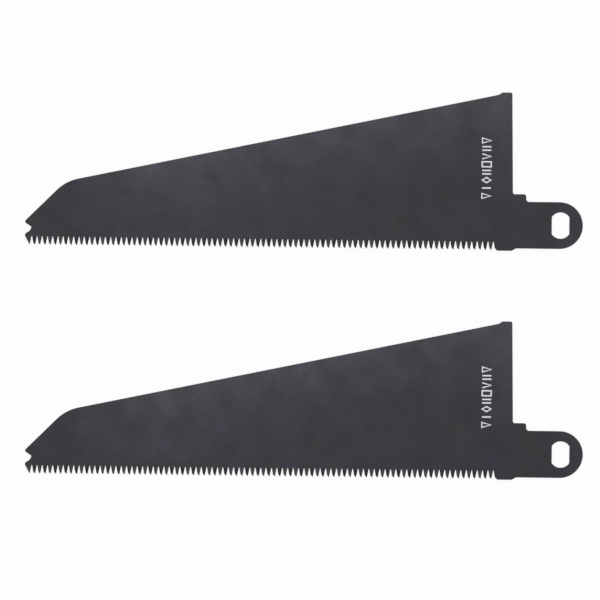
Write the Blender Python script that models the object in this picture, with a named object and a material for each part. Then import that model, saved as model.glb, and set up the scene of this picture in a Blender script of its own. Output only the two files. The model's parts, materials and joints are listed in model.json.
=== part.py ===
"""A pair of matching blades for a powered hand saw, lying flat side by side.

Each blade is a single stamped steel plate: a tall tapering body, a row of tall crosscut teeth, a hooked
nose, and a round-ended tang with an eye that locates it in the saw's clamp. Sizes are in millimetres and
degrees, and they become metres only where vertices are made.

A blade is drawn in its own frame: the origin is the middle of the eye, +X runs back towards the tang's
end, +Y up towards the spine, and +Z out of the face that carries the flat side of the first tooth.
"""

import math

import bmesh
import bpy

MM = 0.001  # metres

# The plate
BLADE_LENGTH = 229.0  # nose to the tang's round end
THICKNESS = 1.25

# The tang and its eye
TANG_WIDTH = 19.2
TANG_END_SETBACK = 0.45  # the round end's centre, in front of the eye's
EYE_WIDTH = 7.2  # across the two flats
EYE_HEIGHT = 10.8
EYE_END_RADIUS = 4.3

# The shoulder, a step between the tang and the heel
SHOULDER_RISE = 3.1  # above the tang's upper edge
SHOULDER_REAR = 14.2  # in front of the eye
SHOULDER_RADIUS = 1.0
SHOULDER_FOOT_RADIUS = 1.2

# The heel, the upright edge at the back of the body
HEEL_FOOT = 19.7  # in front of the eye, where the edge leaves the shoulder
HEEL_LEAN = 0.95  # degrees, forwards
HEEL_HEIGHT = 54.4  # above the eye
HEEL_FOOT_RADIUS = 0.8
HEEL_TOP_RADIUS = 0.8

# The lip, a low step where the heel meets the spine
LIP_LENGTH = 4.0
LIP_RAMP = 1.6
LIP_DROP = 1.0
LIP_RADIUS = 1.0

# The nose: a slope, a beak, a notch with a kink in its lower edge, and a chin over the first tooth
NOSE_SLOPE = 44.8  # degrees
NOSE_TOP = 15.9  # where the slope would meet the spine, above the eye
NOSE_TOP_RADIUS = 17.9
BEAK_DROP = 1.0  # below the eye
BEAK_RADIUS = 0.85
NOTCH_ROOT = (3.15, 2.05)  # behind and below the beak
NOTCH_ROOT_RADIUS = 0.4
NOTCH_KINK = (2.4, 3.65)  # behind and below the beak
NOTCH_KINK_RADIUS = 0.25
CHIN = (0.1, 5.1)  # behind and below the beak
CHIN_RADIUS = 1.1
CHIN_FRONT_SLOPE = 61.3  # degrees below level, down to the first tooth's point

# The pad, the plain stretch of the lower edge between the last gullet and the tang
PAD_DROP = 10.6  # below the eye
PAD_FRONT = 26.1  # in front of the eye
PAD_REAR = 20.0  # in front of the eye
PAD_RAMP = 1.8
PAD_RADIUS = 1.0

# The teeth. Each is flat on one face and bevelled towards the other, turn and turn about.
TIP_DROP = 10.43  # the points, below the eye
TOOTH_PITCH = 2.22  # nominal, behind the graded teeth: the row is divided into whole teeth
GRADED_TEETH = 40  # from the nose, over which the pitch opens up
NOSE_FINENESS = 0.034  # the part of the pitch by which it is finer at the nose
TOOTH_DEPTH = 3.65
FRONT_FLANK = 10.3  # degrees from upright
REAR_FLANK = 12.0  # degrees from upright
TIP_BEVEL = 48.5  # degrees from level, the third bevel, on the front of each point
FLEAM = 12.6  # degrees, how far the flanks slant through the plate
GULLET_RADIUS = 0.26
SET = 0.27  # how far a point leans out of its face
BEND_HEIGHT = 3.25  # above the points, where the lean begins

# How the pair lies
LAY_GAP = 29.0  # between the rear blade's pad and the front blade's heel
LAY_STAGGER = 1.1  # how much further back the front blade lies

CHORD_SAG = 0.006  # how far a facet may cut inside its curve
CUTTER_OVERRUN = 1.0  # how far a cutter passes each face

COATING_COLOUR = (0.050, 0.049, 0.058, 1.0)
COATING_ROUGHNESS = 0.45
COATING_METALLIC = 0.35
SHARP_ANGLE = 25.0  # degrees between faces that meet in a crease

# What follows from the sizes above
TANG_END = TANG_WIDTH / 2 - TANG_END_SETBACK
NOSE_X = TANG_END - BLADE_LENGTH
SHOULDER_TOP = TANG_WIDTH / 2 + SHOULDER_RISE
LEAN_RUN = (HEEL_HEIGHT - SHOULDER_TOP) * math.tan(math.radians(HEEL_LEAN))
BLADE_HEIGHT = HEEL_HEIGHT + PAD_DROP
FRONT_TAN = math.tan(math.radians(FRONT_FLANK))
REAR_TAN = math.tan(math.radians(REAR_FLANK))
BEVEL_RUN = 1 / math.tan(math.radians(TIP_BEVEL))  # along the blade for each unit of height
CHIN_RUN = 1 / math.tan(math.radians(CHIN_FRONT_SLOPE))
BEVEL_INSET = THICKNESS * math.tan(math.radians(FLEAM))


def arc(centre, radius, start, end):
    """Points on an arc from the start angle to the end angle, in radians, both ends included."""
    step = 2 * math.acos(1 - min(CHORD_SAG / radius, 0.5))
    count = max(2, math.ceil(abs(end - start) / step))
    angles = [start + (end - start) * i / count for i in range(count + 1)]
    return [(centre[0] + radius * math.cos(a), centre[1] + radius * math.sin(a)) for a in angles]


def round_corner(before, corner, after, radius):
    """The points of a fillet at the corner, whose radius is limited by the shorter edge."""
    to_before = math.atan2(before[1] - corner[1], before[0] - corner[0])
    to_after = math.atan2(after[1] - corner[1], after[0] - corner[0])
    opening = math.remainder(to_after - to_before, math.tau)
    half = abs(opening) / 2
    room = min(math.dist(before[:2], corner[:2]), math.dist(after[:2], corner[:2])) / 2
    radius = min(radius, room * math.tan(half))
    reach = radius / math.sin(half)
    middle = to_before + opening / 2
    centre = (corner[0] + reach * math.cos(middle), corner[1] + reach * math.sin(middle))
    side = math.copysign(math.pi / 2, opening)
    sweep = math.copysign(math.pi - abs(opening), opening)
    return arc(centre, radius, to_before - side, to_before - side - sweep)


def rounded(corners):
    """An open outline through (x, y, radius) corners. Its two ends stay as they are."""
    points = [corners[0][:2]]
    for before, corner, after in zip(corners, corners[1:], corners[2:]):
        if corner[2]:
            points += round_corner(before, corner, after, corner[2])
        else:
            points.append(corner[:2])
    return points + [corners[-1][:2]]


def polar(corner, angle, length):
    """The point at that length and angle, in degrees, from a corner."""
    turn = math.radians(angle)
    return corner[0] + length * math.cos(turn), corner[1] + length * math.sin(turn)


def nose_corners():
    """The beak, the notch and the chin. The foremost of their rounded points lies at NOSE_X."""
    beak = (0.0, -BEAK_DROP)
    root, kink, chin = ((beak[0] + back, beak[1] - down) for back, down in (NOTCH_ROOT, NOTCH_KINK, CHIN))
    slope_end = polar(beak, NOSE_SLOPE, NOSE_TOP)
    chin_end = (chin[0] + TOOTH_DEPTH * CHIN_RUN, chin[1] - TOOTH_DEPTH)
    corners = [
        (*beak, BEAK_RADIUS),
        (*root, NOTCH_ROOT_RADIUS),
        (*kink, NOTCH_KINK_RADIUS),
        (*chin, CHIN_RADIUS),
    ]
    foremost = min(x for x, _ in rounded([slope_end, *corners, chin_end]))
    return [(x - foremost + NOSE_X, y, radius) for x, y, radius in corners]


def first_tip():
    """Where the chin's front edge reaches the line of the tooth points."""
    x, y, _ = nose_corners()[-1]
    return x + (y + TIP_DROP) * CHIN_RUN


def plain_outline():
    """Everything but the teeth, anticlockwise from the pad to the first tooth's bend."""
    tang_top, tang_bottom = TANG_WIDTH / 2, -TANG_WIDTH / 2
    heel_top = (-HEEL_FOOT - LEAN_RUN, HEEL_HEIGHT)
    lip_front = heel_top[0] - LIP_LENGTH
    spine_rear = (lip_front - LIP_RAMP, HEEL_HEIGHT - LIP_DROP)
    beak, *rest = nose_corners()
    nose_top = (beak[0] + (NOSE_TOP - beak[1]) / math.tan(math.radians(NOSE_SLOPE)), NOSE_TOP)
    under = [
        (-PAD_FRONT, -PAD_DROP, 0),
        (-PAD_REAR, -PAD_DROP, PAD_RADIUS),
        (-PAD_REAR + PAD_RAMP, tang_bottom, PAD_RADIUS),
        (-TANG_END_SETBACK, tang_bottom, 0),
    ]
    end = arc((-TANG_END_SETBACK, 0.0), TANG_WIDTH / 2, -math.pi / 2, math.pi / 2)
    over = [
        (-TANG_END_SETBACK, tang_top, 0),
        (-SHOULDER_REAR, tang_top, SHOULDER_FOOT_RADIUS),
        (-SHOULDER_REAR, SHOULDER_TOP, SHOULDER_RADIUS),
        (-HEEL_FOOT, SHOULDER_TOP, HEEL_FOOT_RADIUS),
        (*heel_top, HEEL_TOP_RADIUS),
        (lip_front, HEEL_HEIGHT, LIP_RADIUS),
        (*spine_rear, LIP_RADIUS),
        (*nose_top, NOSE_TOP_RADIUS),
        beak,
        *rest,
        (first_tip(), -TIP_DROP, 0),
    ]
    bend = (first_tip() - BEND_HEIGHT * CHIN_RUN, BEND_HEIGHT - TIP_DROP)
    return rounded(under)[1:-1] + end + rounded(over)[1:-1] + [bend]


def tooth_face(inset, land):
    """One tooth on one face, from its point: front bend, bevel's top, point, rear bend.

    The inset moves both sides in, as they are on the face that the tooth is bevelled towards. Where the
    third bevel has been cut away there, its top lies on the point.
    """
    point = 2 * inset / (REAR_TAN + BEVEL_RUN)
    bevel_top = land / (BEVEL_RUN - FRONT_TAN)
    if point > bevel_top:
        point = bevel_top = (2 * inset - land) / (REAR_TAN + FRONT_TAN)

    def front(height):
        return inset - land - height * FRONT_TAN, height

    def rear(height):
        return height * REAR_TAN - inset, height

    return front(BEND_HEIGHT), front(bevel_top), rear(point), rear(BEND_HEIGHT)


def gullet_face(inset):
    """The rounded bottom of the gullet behind a tooth with that inset, from the tooth's point."""
    height = TOOTH_DEPTH - GULLET_RADIUS
    middle = GULLET_RADIUS / math.cos(math.radians(REAR_FLANK)) + height * REAR_TAN - inset
    return arc((middle, height), GULLET_RADIUS, math.pi - math.radians(REAR_FLANK), math.radians(FRONT_FLANK))


def tooth_spacings():
    """The distance from each tooth's point to the next, and from the last one's to the pad."""
    length = -PAD_FRONT - first_tip()
    lost = NOSE_FINENESS * GRADED_TEETH / 2
    count = round(length / TOOTH_PITCH + lost)
    shares = [1 - NOSE_FINENESS * max(0.0, 1 - tooth / GRADED_TEETH) for tooth in range(count)]
    return [length * share / sum(shares) for share in shares]


def tooth_land(spacing):
    """How wide a point would be without its third bevel, from what the gullet before it leaves."""
    gullet_sides = GULLET_RADIUS * sum(1 / math.cos(math.radians(a)) for a in (FRONT_FLANK, REAR_FLANK))
    height = TOOTH_DEPTH - GULLET_RADIUS
    return spacing + BEVEL_INSET - gullet_sides - height * (FRONT_TAN + REAR_TAN)


def toothed_outline(side):
    """The teeth on one face, from the first one's point to the pad, as (x, y, z, part) with side +1 or -1.

    z is measured from the middle of the plate. part is "point" for what leans out below the bend, and
    "body" for the rest.
    """
    face = side * THICKNESS / 2
    outline = []

    def add(x, points, part, lean):
        for along, height in points:
            z = face + lean * max(0.0, 1 - height / BEND_HEIGHT)
            outline.append((x + along, height - TIP_DROP, z, part))

    x = first_tip()
    land = None
    flat_side = 1
    for spacing in tooth_spacings():
        inset = 0.0 if side == flat_side else BEVEL_INSET
        if land is None:
            point_height = inset / (REAR_TAN + CHIN_RUN)
            add(x, [(-point_height * CHIN_RUN, point_height)], "point", flat_side * SET)
            rear_bend = (BEND_HEIGHT * REAR_TAN - inset, BEND_HEIGHT)
        else:
            front_bend, bevel_top, point, rear_bend = tooth_face(inset, land)
            add(x, [front_bend], "body", 0.0)
            add(x, [bevel_top, point], "point", flat_side * SET)
        add(x, [rear_bend, *gullet_face(inset)], "body", 0.0)
        x += spacing
        land = tooth_land(spacing)
        flat_side = -flat_side

    inset = 0.0 if side == flat_side else BEVEL_INSET
    bevel_top = tooth_face(0.0, land)[1]
    pad_height = TIP_DROP - PAD_DROP
    pad_corner = (inset - pad_height * BEVEL_RUN, pad_height)
    add(x, [(bevel_top[0] + inset, bevel_top[1]), pad_corner], "body", 0.0)
    return outline


def blade_mesh():
    """The blade as one closed mesh, before its eye is cut."""
    mesh = bmesh.new()
    plain = plain_outline()
    loops, parts = [], []
    for side in (1, -1):
        toothed = toothed_outline(side)
        points = [point[:3] for point in toothed] + [(x, y, side * THICKNESS / 2) for x, y in plain]
        parts = [point[3] for point in toothed] + ["body"] * len(plain)
        loops.append([mesh.verts.new([value * MM for value in point]) for point in points])

    def add_faces(indices):
        mesh.faces.new([loops[0][i] for i in indices])
        mesh.faces.new([loops[1][i] for i in reversed(indices)])

    size = len(parts)
    for i in range(size):
        j = (i + 1) % size
        mesh.faces.new([loops[0][j], loops[0][i], loops[1][i], loops[1][j]])
    add_faces([i for i in range(size) if parts[i] == "body"])
    start = 0
    while start < size:
        end = start
        while parts[end] == "point":
            end += 1
        if end > start:
            add_faces([(start - 1) % size, *range(start, end + 1)])
        start = end + 1
    bmesh.ops.remove_doubles(mesh, verts=mesh.verts, dist=CHORD_SAG * MM / 10)
    bmesh.ops.recalc_face_normals(mesh, faces=mesh.faces)
    data = bpy.data.meshes.new("saw_blade")
    mesh.to_mesh(data)
    mesh.free()
    data.shade_smooth()
    data.set_sharp_from_angle(angle=math.radians(SHARP_ANGLE))
    return data


def eye_outline():
    """The eye: two upright flats joined by an arc at each end."""
    half_width = EYE_WIDTH / 2
    lift = EYE_HEIGHT / 2 - EYE_END_RADIUS
    corner = math.acos(min(1.0, half_width / EYE_END_RADIUS))
    upper = arc((0.0, lift), EYE_END_RADIUS, corner, math.pi - corner)
    return upper + [(-x, -y) for x, y in upper]


def eye_cutter():
    """A guide that only cuts: the eye's outline, extruded through the plate."""
    mesh = bmesh.new()
    reach = (THICKNESS / 2 + CUTTER_OVERRUN) * MM
    floor = mesh.faces.new([mesh.verts.new((x * MM, y * MM, -reach)) for x, y in eye_outline()])
    raised = bmesh.ops.extrude_face_region(mesh, geom=[floor])["geom"]
    moved = [item for item in raised if isinstance(item, bmesh.types.BMVert)]
    bmesh.ops.translate(mesh, verts=moved, vec=(0.0, 0.0, 2 * reach))
    bmesh.ops.recalc_face_normals(mesh, faces=mesh.faces)
    data = bpy.data.meshes.new("eye_cutter")
    mesh.to_mesh(data)
    mesh.free()
    return data


def coating():
    """The satin black coat that covers the whole blade."""
    material = bpy.data.materials.new("black_coating")
    material.use_nodes = True
    shader = material.node_tree.nodes["Principled BSDF"]
    shader.inputs["Base Color"].default_value = COATING_COLOUR
    shader.inputs["Roughness"].default_value = COATING_ROUGHNESS
    shader.inputs["Metallic"].default_value = COATING_METALLIC
    return material


def add_object(name, data, location):
    made = bpy.data.objects.new(name, data)
    bpy.context.scene.collection.objects.link(made)
    made.location = [value * MM for value in location]
    return made


def add_blade(name, data, location):
    """A blade with its eye cut, lying with its lowest tooth points at the height 0."""
    blade = add_object(name, data, location)
    cutter = add_object(name + "_eye_cutter", eye_cutter(), location)
    cutter.hide_render = True
    cutter.display_type = "WIRE"
    cut = blade.modifiers.new("eye", "BOOLEAN")
    cut.operation = "DIFFERENCE"
    cut.solver = "EXACT"
    cut.object = cutter
    return blade


def build():
    for old in list(bpy.data.objects):
        bpy.data.objects.remove(old)
    data = blade_mesh()
    data.materials.append(coating())
    spacing = BLADE_HEIGHT + LAY_GAP
    middle_x = (NOSE_X + TANG_END) / 2
    middle_y = (HEEL_HEIGHT - PAD_DROP) / 2
    middle_z = THICKNESS / 2 + SET
    add_blade("rear_blade", data, (-middle_x - LAY_STAGGER / 2, spacing / 2 - middle_y, middle_z))
    add_blade("front_blade", data, (-middle_x + LAY_STAGGER / 2, -spacing / 2 - middle_y, middle_z))


build()
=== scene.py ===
"""Looks for the pair of blades: coated steel with rolled edges and ground teeth, a printed mark on each, and
a plain white studio seen from straight above. Sizes are in metres unless a comment says otherwise."""

import json
import math

import bmesh
import bpy
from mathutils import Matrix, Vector


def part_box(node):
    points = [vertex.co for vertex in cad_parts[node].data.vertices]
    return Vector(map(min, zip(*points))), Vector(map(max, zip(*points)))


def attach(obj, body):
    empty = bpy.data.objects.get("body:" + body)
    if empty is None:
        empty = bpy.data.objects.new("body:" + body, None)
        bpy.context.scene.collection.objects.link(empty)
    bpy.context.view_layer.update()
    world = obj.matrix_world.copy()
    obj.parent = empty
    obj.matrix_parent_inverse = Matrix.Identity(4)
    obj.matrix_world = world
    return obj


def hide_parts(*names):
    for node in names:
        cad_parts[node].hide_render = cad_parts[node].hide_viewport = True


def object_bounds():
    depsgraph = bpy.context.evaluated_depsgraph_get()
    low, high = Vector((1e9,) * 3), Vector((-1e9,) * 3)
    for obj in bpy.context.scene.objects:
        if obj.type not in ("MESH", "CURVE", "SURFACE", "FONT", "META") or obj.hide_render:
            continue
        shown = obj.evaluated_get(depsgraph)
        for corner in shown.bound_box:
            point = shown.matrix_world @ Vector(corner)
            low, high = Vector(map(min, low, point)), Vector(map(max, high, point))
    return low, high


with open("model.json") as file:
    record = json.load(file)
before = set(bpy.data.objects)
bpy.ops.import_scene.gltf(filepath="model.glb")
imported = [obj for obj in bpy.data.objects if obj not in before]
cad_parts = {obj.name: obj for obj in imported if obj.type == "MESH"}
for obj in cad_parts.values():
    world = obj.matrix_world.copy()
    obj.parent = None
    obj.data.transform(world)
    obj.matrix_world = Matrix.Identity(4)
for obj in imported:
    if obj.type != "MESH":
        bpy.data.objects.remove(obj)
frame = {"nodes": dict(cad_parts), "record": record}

BLADES = ("rear_blade", "front_blade")

# The view
CAMERA_HEIGHT = 5.0
VIEW_WIDTH = 0.2464  # across the frame, at the floor
VIEW_OFFSET = (-0.0018, -0.0067)  # from the middle of the pair to the middle of the view
CAMERA_ROLL = math.radians(0.68)
SENSOR_WIDTH = 36.0  # in millimetres

# How a blade's skin is made
MERGE_DISTANCE = 1e-6
FLAT_ANGLE = math.radians(0.5)
CREASE_ANGLE = math.radians(30)
FACE_SLOPE = math.cos(math.radians(20))  # the faces of the plate and of the set teeth are flatter than this
BEND_ANGLE = math.radians(2)  # a set tooth leans out by more than this
BEND_SLOPE = math.cos(BEND_ANGLE)
EDGE_ROUNDING = 0.00014  # the rolled-over edge of the stamped outline
EDGE_SEGMENTS = 3
TOOTH_ROUNDING = 0.00003  # the ground edges of the teeth
TOOTH_ROW_HEIGHT = 0.0042  # from the pad's foot to just over the gullets
TOOTH_ROW_END = 0.0353  # from the tang's end to the last gullet

# Painted sheen: the coat's colour is made lighter along the spine and the heel and towards the nose, in place
# of the light's reflection there. Each span is in shares of the blade's length from the nose. The heel's rise
# is in shares of the height from the pad's foot.
SPINE_SLOPE = math.tan(math.radians(11.94))
SPINE_REAR_SHARE = 0.847  # of the length, where the spine ends at the lip
SPINE_SHINE = 0.8
SPINE_SHINE_WIDTH = 0.038
NOSE_SHINE = 0.27
NOSE_SHINE_SPAN = (0.17, 0.86)
NOSE_TIP_SHARE = 0.15  # of the painted sheen, left at the very nose
NOSE_TIP_SPAN = (0.07, 0.24)
HEEL_SHINE = 0.3
HEEL_SHINE_SPAN = (0.8, 0.87)
HEEL_SHINE_RISE = (0.3, 0.42)
TANG_SHINE = 0.15
TANG_SHINE_SPAN = (0.95, 1.0)

# The colours of each finish, which varies between two
COAT_TINTS = ((0.0088, 0.0062, 0.0184), (0.0102, 0.0094, 0.0140))
# the painted sheen's colour, blended into the coat along the spine, heel and nose
PAINTED_SHEEN_TONE = (0.045, 0.042, 0.058)
EDGE_TONES = ((0.014, 0.014, 0.017), (0.040, 0.039, 0.042))
WALL_TONES = ((0.017, 0.017, 0.020), (0.027, 0.026, 0.030))
SET_TOOTH_TONES = ((0.0085, 0.0083, 0.0085), (0.0125, 0.0121, 0.0125))
GROUND_TOOTH_TONES = ((0.008, 0.008, 0.010), (0.014, 0.014, 0.016))
INK_TONES = ((0.66, 0.68, 0.76), (0.84, 0.86, 0.96))

# The relief of each finish
GRAIN_DEPTH = 0.0000012  # the rolled plate's grain and speckle
DRAG_DEPTH = 0.000006  # the drag marks of stamping
WHEEL_MARK_DEPTH = 0.000002  # the marks of the grinding wheel

# The printed mark, a column of plain signs beside the heel
MARK_FROM_TANG_END = 0.03975
MARK_FROM_SPINE_TOP = 0.0312
MARK_LENGTH = 0.026
MARK_WIDTH = 0.0043
MARK_STROKE = 0.0006
MARK_GAP = 0.0006  # between one sign and the next
MITRE_LIMIT = 0.75  # a stroke's corners reach out no further than its half width over this
INK_THICKNESS = 0.000015
INK_LIFT = 0.000004  # clear of the face below

# The studio
FLOOR_REACH = 5.0  # from its middle to each side
FLOOR_DROP = 0.00002  # below the blades' lowest points
FLOOR_TONE = 0.97
FLOOR_GLOW = 0.92  # the share of plain white in what the camera sees of the floor
STUDIO_GREY = 0.2
LAMP_TARGET = (0.0, 0.0, 0.0)
KEY_PLACE = (0.0, 2.1, 9.8)
KEY_SIZE = (10.0, 6.4)
KEY_POWER = 181.0  # in watts, as is the fills'
FILL_PLACE = (4.6, 4.6, 7.6)  # and the same over the other three corners
FILL_SIZE = (5.8, 5.8)
FILL_POWER = 175.0

mounts = {mount["name"]: mount["pos_m"] for mount in frame["record"]["mounts"]}
TOP_FACE = mounts["rear_tang_top"][2]
cad_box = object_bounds()


def node_tree(name):
    """A new material, with its nodes, its links and its shader."""
    material = bpy.data.materials.new(name)
    material.use_nodes = True
    tree = material.node_tree
    return material, tree.nodes, tree.links, tree.nodes["Principled BSDF"]


def noise(nodes, links, scale, detail=3.0, stretch=(1.0, 1.0, 1.0)):
    """A noise in the piece's own space, with a scale in features for each metre, from 0 to 1."""
    place = nodes.new("ShaderNodeTexCoord")
    mapping = nodes.new("ShaderNodeMapping")
    mapping.inputs["Scale"].default_value = stretch
    texture = nodes.new("ShaderNodeTexNoise")
    texture.inputs["Scale"].default_value = scale
    texture.inputs["Detail"].default_value = detail
    texture.inputs["Roughness"].default_value = 0.55
    links.new(place.outputs["Object"], mapping.inputs["Vector"])
    links.new(mapping.outputs["Vector"], texture.inputs["Vector"])
    return texture.outputs["Fac"]


def mapped(nodes, links, value, low, high, start=0.3, end=0.7):
    """The value, with start to end stretched onto low to high. Most of a noise lies between 0.3 and 0.7."""
    node = nodes.new("ShaderNodeMapRange")
    node.inputs["From Min"].default_value = start
    node.inputs["From Max"].default_value = end
    node.inputs["To Min"].default_value = low
    node.inputs["To Max"].default_value = high
    links.new(value, node.inputs["Value"])
    return node.outputs["Result"]


def blended(nodes, links, factor, first, second):
    """A colour between two colours."""
    node = nodes.new("ShaderNodeMix")
    node.data_type = "RGBA"
    for socket, colour in (("A", first), ("B", second)):
        target = next(s for s in node.inputs if s.name == socket and s.type == "RGBA")
        if isinstance(colour, tuple):
            target.default_value = (*colour, 1.0)
        else:
            links.new(colour, target)
    links.new(factor, node.inputs["Factor"])
    return next(s for s in node.outputs if s.type == "RGBA")


def combined(nodes, links, operation, first, second):
    """Two values put together by an operation of the maths node."""
    node = nodes.new("ShaderNodeMath")
    node.operation = operation
    links.new(first, node.inputs[0])
    links.new(second, node.inputs[1])
    return node.outputs[0]


def product(nodes, links, first, second):
    """One value times the other."""
    return combined(nodes, links, "MULTIPLY", first, second)


def summed(nodes, links, first, second):
    """One value plus the other."""
    return combined(nodes, links, "ADD", first, second)


def scaled(nodes, links, colour, factor):
    """A colour made lighter or darker by the factor."""
    node = nodes.new("ShaderNodeVectorMath")
    node.operation = "SCALE"
    links.new(colour, node.inputs[0])
    links.new(factor, node.inputs["Scale"])
    return node.outputs[0]


def bumped(nodes, links, shader, height, depth):
    """Relief on the shader, as deep as that many metres from 0 to 1 of the height."""
    node = nodes.new("ShaderNodeBump")
    node.inputs["Distance"].default_value = depth
    links.new(height, node.inputs["Height"])
    links.new(node.outputs["Normal"], shader.inputs["Normal"])


def painted_sheen(nodes, links, size):
    """How much painted sheen the coat gets at a place in the piece's own box: 0 by the pad, and about 1 along
    the spine.
    """
    place = nodes.new("ShaderNodeTexCoord")
    distance = nodes.new("ShaderNodeVectorMath")
    distance.operation = "DOT_PRODUCT"
    distance.inputs[1].default_value = (-size.x * SPINE_SLOPE, size.y, 0.0)
    links.new(place.outputs["Generated"], distance.inputs[0])
    spine = size.y - size.x * SPINE_SLOPE * SPINE_REAR_SHARE
    near = mapped(nodes, links, distance.outputs["Value"], 0.0, 1.0, spine - SPINE_SHINE_WIDTH, spine)
    level = mapped(nodes, links, product(nodes, links, near, near), 0.0, SPINE_SHINE, 0.0, 1.0)
    parts = nodes.new("ShaderNodeSeparateXYZ")
    links.new(place.outputs["Generated"], parts.inputs[0])
    along, up = parts.outputs["X"], parts.outputs["Y"]
    level = summed(nodes, links, level, mapped(nodes, links, along, NOSE_SHINE, 0.0, *NOSE_SHINE_SPAN))
    level = product(nodes, links, level, mapped(nodes, links, along, NOSE_TIP_SHARE, 1.0, *NOSE_TIP_SPAN))
    level = summed(nodes, links, level, mapped(nodes, links, along, 0.0, TANG_SHINE, *TANG_SHINE_SPAN))
    heel = mapped(nodes, links, along, 0.0, HEEL_SHINE, *HEEL_SHINE_SPAN)
    upper = mapped(nodes, links, up, 0.0, 1.0, *HEEL_SHINE_RISE)
    return summed(nodes, links, level, product(nodes, links, heel, upper))


def coated_face(size):
    """The satin black coat on the two faces: cloudy in tone and tint, with a painted sheen along the spine,
    heel and nose, and the rolled plate's grain below.
    """
    material, nodes, links, shader = node_tree("coated_face")
    clouds = mapped(nodes, links, noise(nodes, links, 95.0, detail=4.0), 0.6, 1.4)
    flecks = mapped(nodes, links, noise(nodes, links, 900.0), 0.85, 1.15)
    tint = mapped(nodes, links, noise(nodes, links, 60.0, detail=6.0), 0.0, 1.0, 0.42, 0.64)
    body = blended(nodes, links, tint, *COAT_TINTS)
    # the coat's colour blended towards the painted sheen along the spine, heel and nose
    colour = blended(nodes, links, painted_sheen(nodes, links, size), body, PAINTED_SHEEN_TONE)
    tone = product(nodes, links, clouds, flecks)
    links.new(scaled(nodes, links, colour, tone), shader.inputs["Base Color"])
    grain = noise(nodes, links, 1.0, detail=2.0, stretch=(160.0, 5200.0, 160.0))
    speckle = noise(nodes, links, 5200.0, detail=2.0)
    uneven = mapped(nodes, links, noise(nodes, links, 130.0, detail=4.0), -0.03, 0.03)
    streaks = mapped(nodes, links, grain, 0.27, 0.33)
    links.new(summed(nodes, links, streaks, uneven), shader.inputs["Roughness"])
    bumped(nodes, links, shader, summed(nodes, links, grain, speckle), GRAIN_DEPTH)
    return material


def rolled_edge():
    """The rounded edge of the stamping, where the coat is thin and rubbed brighter in places."""
    material, nodes, links, shader = node_tree("rolled_edge")
    rub = mapped(nodes, links, noise(nodes, links, 420.0, detail=5.0), 0.0, 1.0, 0.42, 0.72)
    links.new(blended(nodes, links, rub, *EDGE_TONES), shader.inputs["Base Color"])
    links.new(mapped(nodes, links, rub, 0.46, 0.36, 0.0, 1.0), shader.inputs["Roughness"])
    shader.inputs["Metallic"].default_value = 0.2
    return material


def stamped_wall():
    """The cut wall of the plate: drag marks from the stamping across its thickness, under the same coat."""
    material, nodes, links, shader = node_tree("stamped_wall")
    drag = noise(nodes, links, 1.0, stretch=(3000.0, 3000.0, 260.0))
    links.new(blended(nodes, links, drag, *WALL_TONES), shader.inputs["Base Color"])
    links.new(mapped(nodes, links, drag, 0.38, 0.62), shader.inputs["Roughness"])
    bumped(nodes, links, shader, drag, DRAG_DEPTH)
    return material


def set_tooth():
    """The faces of the set teeth, which are a little glossier than the plate and plain black."""
    material, nodes, links, shader = node_tree("set_tooth")
    marks = noise(nodes, links, 700.0)
    links.new(blended(nodes, links, marks, *SET_TOOTH_TONES), shader.inputs["Base Color"])
    links.new(mapped(nodes, links, marks, 0.26, 0.32), shader.inputs["Roughness"])
    shader.inputs["Specular IOR Level"].default_value = 0.58
    return material


def ground_tooth():
    """The ground bevels of the teeth: fine wheel marks under a matt coat."""
    material, nodes, links, shader = node_tree("ground_tooth")
    marks = noise(nodes, links, 1.0, detail=2.0, stretch=(900.0, 900.0, 14000.0))
    links.new(blended(nodes, links, marks, *GROUND_TOOTH_TONES), shader.inputs["Base Color"])
    links.new(mapped(nodes, links, marks, 0.44, 0.60), shader.inputs["Roughness"])
    shader.inputs["Specular IOR Level"].default_value = 0.0
    bumped(nodes, links, shader, marks, WHEEL_MARK_DEPTH)
    return material


def ink():
    """The printed mark's pale ink, a little uneven in cover."""
    material, nodes, links, shader = node_tree("ink")
    cover = mapped(nodes, links, noise(nodes, links, 3800.0, detail=4.0), 0.0, 1.0, 0.36, 0.5)
    links.new(blended(nodes, links, cover, *INK_TONES), shader.inputs["Base Color"])
    shader.inputs["Roughness"].default_value = 0.6
    return material


def white_floor():
    """Pale floor that the camera sees as almost pure white, but for the object's soft shadow."""
    material, nodes, links, shader = node_tree("white_floor")
    shader.inputs["Base Color"].default_value = (FLOOR_TONE, FLOOR_TONE, FLOOR_TONE, 1.0)
    shader.inputs["Roughness"].default_value = 0.9
    shader.inputs["Specular IOR Level"].default_value = 0.0
    rays = nodes.new("ShaderNodeLightPath").outputs
    seen = combined(nodes, links, "MAXIMUM", rays["Is Camera Ray"], rays["Is Glossy Ray"])
    share = mapped(nodes, links, seen, 0.0, FLOOR_GLOW, 0.0, 1.0)
    glow = nodes.new("ShaderNodeEmission")
    mix = nodes.new("ShaderNodeMixShader")
    links.new(share, mix.inputs[0])
    links.new(shader.outputs[0], mix.inputs[1])
    links.new(glow.outputs[0], mix.inputs[2])
    links.new(mix.outputs[0], nodes["Material Output"].inputs["Surface"])
    return material


def mesh_data(name, mesh):
    """A named mesh for an object, in place of the working mesh."""
    data = bpy.data.meshes.new(name)
    mesh.to_mesh(data)
    mesh.free()
    return data


def scene_object(name, data):
    """A new object in the scene."""
    made = bpy.data.objects.new(name, data)
    bpy.context.scene.collection.objects.link(made)
    return made


def is_tooth(point, low, high):
    """Whether a point of the blade lies in its tooth row."""
    return point.y < low.y + TOOTH_ROW_HEIGHT and point.x < high.x - TOOTH_ROW_END


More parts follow.
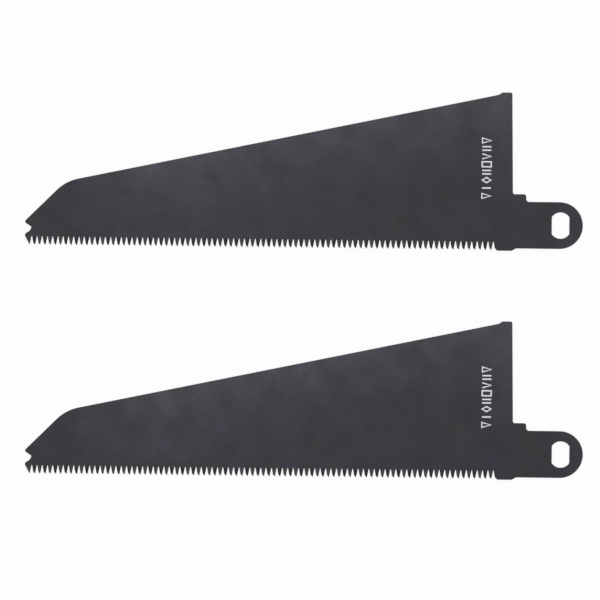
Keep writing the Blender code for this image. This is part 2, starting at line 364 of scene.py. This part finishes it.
def blade_skin(node, finishes):
    """A finer copy of a blade: flats rejoined, edges marked for rounding, and faces sorted by finish."""
    low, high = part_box(node)
    mesh = bmesh.new()
    mesh.from_mesh(frame["nodes"][node].data)
    bmesh.ops.remove_doubles(mesh, verts=mesh.verts, dist=MERGE_DISTANCE)
    bmesh.ops.dissolve_limit(mesh, angle_limit=FLAT_ANGLE, verts=mesh.verts, edges=mesh.edges)
    weights = mesh.edges.layers.float.new("bevel_weight_edge")
    for face in mesh.faces:
        face.smooth = True
        if abs(face.normal.z) > BEND_SLOPE:
            finish = "coated_face"
        elif abs(face.normal.z) > FACE_SLOPE:
            finish = "set_tooth"
        elif is_tooth(face.calc_center_median(), low, high):
            finish = "ground_tooth"
        else:
            finish = "stamped_wall"
        face.material_index = finishes.index(finish)
    for edge in mesh.edges:
        sides = [abs(face.normal.z) > FACE_SLOPE for face in edge.link_faces]
        turn = edge.calc_face_angle(0.0)
        edge.smooth = turn < (BEND_ANGLE if all(sides) else CREASE_ANGLE)
        if sorted(sides) == [False, True]:
            middle = (edge.verts[0].co + edge.verts[1].co) / 2
            edge[weights] = TOOTH_ROUNDING / EDGE_ROUNDING if is_tooth(middle, low, high) else 1.0
    return mesh_data(node + "_skin", mesh)


def add_blade(node, materials):
    """The blade's skin, rounded along its edges, in place of the plain solid."""
    finishes = [material.name for material in materials]
    data = blade_skin(node, finishes)
    for material in materials:
        data.materials.append(material)
    skin = scene_object(node + "_skin", data)
    rounding = skin.modifiers.new("rounding", "BEVEL")
    rounding.limit_method = "WEIGHT"
    rounding.width = EDGE_ROUNDING
    rounding.segments = EDGE_SEGMENTS
    rounding.material = finishes.index("rolled_edge")
    rounding.harden_normals = True
    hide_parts(node)
    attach(skin, node)


# Plain signs, as strokes in cells that run from -1 to 1 each way: (whether it closes, points)
SIGNS = {
    "bar": [(False, [(-1, 0), (1, 0)])],
    "bars": [(False, [(-1, -0.7), (1, -0.7)]), (False, [(-1, 0.7), (1, 0.7)])],
    "box": [(True, [(-1, -1), (1, -1), (1, 1), (-1, 1)])],
    "chevron": [(False, [(-1, -1), (1, 0), (-1, 1)])],
    "diamond": [(True, [(-1, 0), (0, -1), (1, 0), (0, 1)])],
    "wedge": [(True, [(-1, -1), (1, 0), (-1, 1)])],
}
MARK = ("wedge", "bars", "chevron", "box", "bars", "diamond", "bar", "wedge")


def ribbon(mesh, points, closed, width):
    """A stroke of even width along points in the plane, mitred at its corners."""
    points = [Vector(point) for point in points]
    count = len(points)
    left, right = [], []
    for i, point in enumerate(points):
        ways = []
        if closed or i > 0:
            ways.append((point - points[i - 1]).normalized())
        if closed or i < count - 1:
            ways.append((points[(i + 1) % count] - point).normalized())
        way = sum(ways, Vector((0.0, 0.0))).normalized()
        side = Vector((-way.y, way.x)) * width / 2 / max(MITRE_LIMIT, way.dot(ways[0]))
        left.append(mesh.verts.new((*(point + side), 0.0)))
        right.append(mesh.verts.new((*(point - side), 0.0)))
    for i in range(count if closed else count - 1):
        j = (i + 1) % count
        mesh.faces.new([right[i], right[j], left[j], left[i]])


def add_mark(node, material):
    """The printed mark: a column of plain signs, each reading across the blade."""
    low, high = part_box(node)
    step = MARK_LENGTH / len(MARK)
    across = (MARK_WIDTH - MARK_STROKE) / 2
    along = (step - MARK_GAP - MARK_STROKE) / 2
    mesh = bmesh.new()
    for i, kind in enumerate(MARK):
        middle = MARK_LENGTH / 2 - (i + 0.5) * step
        for closed, points in SIGNS[kind]:
            ribbon(mesh, [(x * across, y * along + middle) for x, y in points], closed, MARK_STROKE)
    raised = bmesh.ops.extrude_face_region(mesh, geom=mesh.faces[:])["geom"]
    moved = [item for item in raised if isinstance(item, bmesh.types.BMVert)]
    bmesh.ops.translate(mesh, verts=moved, vec=(0.0, 0.0, INK_THICKNESS))
    bmesh.ops.recalc_face_normals(mesh, faces=mesh.faces)
    data = mesh_data(node + "_mark", mesh)
    data.materials.append(material)
    mark = scene_object(node + "_mark", data)
    mark.location = (high.x - MARK_FROM_TANG_END, high.y - MARK_FROM_SPINE_TOP, TOP_FACE + INK_LIFT)
    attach(mark, node)


def add_camera(centre):
    """A camera straight above the pair."""
    data = bpy.data.cameras.new("camera")
    data.sensor_width = SENSOR_WIDTH
    data.lens = SENSOR_WIDTH * CAMERA_HEIGHT / VIEW_WIDTH
    camera = scene_object("camera", data)
    camera.location = (centre.x + VIEW_OFFSET[0], centre.y + VIEW_OFFSET[1], CAMERA_HEIGHT)
    camera.rotation_euler = (0.0, 0.0, CAMERA_ROLL)
    bpy.context.scene.camera = camera


def add_panel(name, place, size, power):
    """A soft light panel that faces the middle of the floor."""
    data = bpy.data.lights.new(name, "AREA")
    data.shape = "RECTANGLE"
    data.size, data.size_y = size
    data.energy = power
    panel = scene_object(name, data)
    panel.location = place
    panel.rotation_euler = (Vector(LAMP_TARGET) - Vector(place)).to_track_quat("-Z", "Y").to_euler()


def add_studio():
    """A white floor, a broad soft panel overhead, one over each corner, and even light from all round."""
    mesh = bmesh.new()
    bmesh.ops.create_grid(mesh, x_segments=1, y_segments=1, size=FLOOR_REACH)
    data = mesh_data("floor", mesh)
    data.materials.append(white_floor())
    floor = scene_object("floor", data)
    floor.location = (0.0, 0.0, -FLOOR_DROP)
    add_panel("key", KEY_PLACE, KEY_SIZE, KEY_POWER)
    for across in (-1, 1):
        for back in (-1, 1):
            place = (FILL_PLACE[0] * across, FILL_PLACE[1] * back, FILL_PLACE[2])
            add_panel("fill", place, FILL_SIZE, FILL_POWER)
    world = bpy.data.worlds.new("studio")
    world.use_nodes = True
    background = world.node_tree.nodes["Background"]
    background.inputs["Color"].default_value = (STUDIO_GREY, STUDIO_GREY, STUDIO_GREY, 1.0)
    bpy.context.scene.world = world


blade_low, blade_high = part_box(BLADES[0])
materials = [
    coated_face(blade_high - blade_low),
    rolled_edge(),
    stamped_wall(),
    set_tooth(),
    ground_tooth(),
]
printed = ink()
for blade in BLADES:
    add_blade(blade, materials)
    add_mark(blade, printed)
low, high = cad_box
add_camera((low + high) / 2)
add_studio()
bpy.context.scene.view_settings.view_transform = "Standard"
